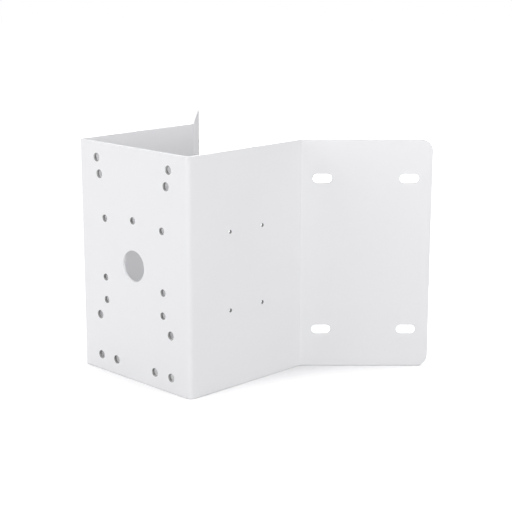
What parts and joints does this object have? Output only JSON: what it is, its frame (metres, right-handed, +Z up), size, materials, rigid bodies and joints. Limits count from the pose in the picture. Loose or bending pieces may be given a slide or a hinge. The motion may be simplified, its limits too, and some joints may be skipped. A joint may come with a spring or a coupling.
{
  "type": "corner mount bracket",
  "caption": "Folded sheet-steel bracket that holds a security camera out from the outside corner of a building, with tapped camera holes, a cable hole and slotted wall flanges.",
  "frame": {"origin": "under the middle of the bracket's box, on the level of its bottom edges", "axes": "+X across the front plate to its right as the camera sees it from the front, +Y from the front plate back towards the wall's corner, +Z up as it hangs on the wall"},
  "size_m": [0.252, 0.1778, 0.17],
  "materials": {
    "coated_steel": "smooth satin white powder coat on sheet steel, bare in the tapped holes"
  },
  "bodies": {
    "root": {"bracket": "coated_steel"}
  },
  "joints": []
}
